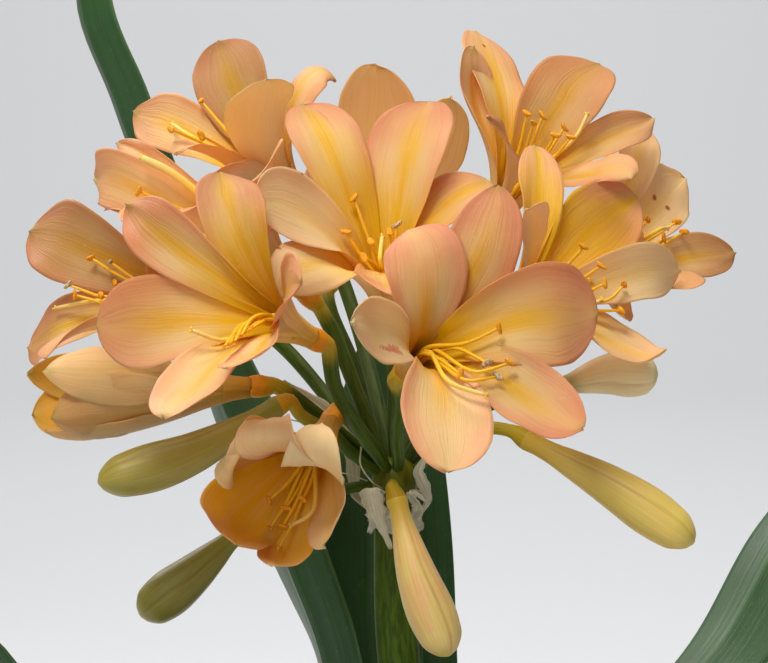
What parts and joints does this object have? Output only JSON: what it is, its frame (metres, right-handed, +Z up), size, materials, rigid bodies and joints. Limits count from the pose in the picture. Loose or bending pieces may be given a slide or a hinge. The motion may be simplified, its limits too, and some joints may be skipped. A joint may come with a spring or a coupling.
{
  "type": "clivia house plant",
  "caption": "Clivia in bloom: an umbel of pale apricot, yellow-throated flowers and buds on one stem above a fan of dark strap leaves, standing in a plain terracotta pot.",
  "frame": {"origin": "centre of the underside of the pot", "axes": "+Z up, -Y the side the flower head faces, +X to the right when looking at that side"},
  "size_m": [0.4961, 0.4172, 0.6122],
  "materials": {
    "pot": "matte terracotta",
    "potting_mix": "rough",
    "crown": "satin",
    "leaf": "satin",
    "scape": "satin",
    "tepal": "satin",
    "stamen": "matte",
    "stalk": "satin",
    "bud": "satin",
    "bract": "matte papery"
  },
  "bodies": {
    "root": {"pot": "pot", "potting_mix": "potting_mix", "crown": "crown", "scape": "scape", "spathe_bracts": "bract", "leaf_01": "leaf", "leaf_02": "leaf", "leaf_03": "leaf", "leaf_04": "leaf", "leaf_05": "leaf", "leaf_06": "leaf", "leaf_07": "leaf", "leaf_08": "leaf", "leaf_09": "leaf", "leaf_10": "leaf", "leaf_11": "leaf", "flower_01": "tepal", "flower_02": "tepal", "flower_03": "tepal", "flower_04": "tepal", "flower_05": "tepal", "flower_06": "tepal", "flower_07": "tepal", "flower_08": "tepal", "flower_09": "tepal", "flower_10": "tepal", "flower_11": "tepal", "flower_12": "tepal", "flower_01_stamens": "stamen", "flower_02_stamens": "stamen", "flower_03_stamens": "stamen", "flower_04_stamens": "stamen", "flower_05_stamens": "stamen", "flower_06_stamens": "stamen", "flower_07_stamens": "stamen", "flower_08_stamens": "stamen", "flower_09_stamens": "stamen", "flower_10_stamens": "stamen", "flower_11_stamens": "stamen", "flower_12_stamens": "stamen", "flower_01_stalk": "stalk", "flower_02_stalk": "stalk", "flower_03_stalk": "stalk", "flower_04_stalk": "stalk", "flower_05_stalk": "stalk", "flower_06_stalk": "stalk", "flower_07_stalk": "stalk", "flower_08_stalk": "stalk", "flower_09_stalk": "stalk", "flower_10_stalk": "stalk", "flower_11_stalk": "stalk", "flower_12_stalk": "stalk", "bud_1": "bud", "bud_2": "bud", "bud_3": "bud", "bud_4": "bud", "bud_5": "bud"}
  },
  "joints": []
}
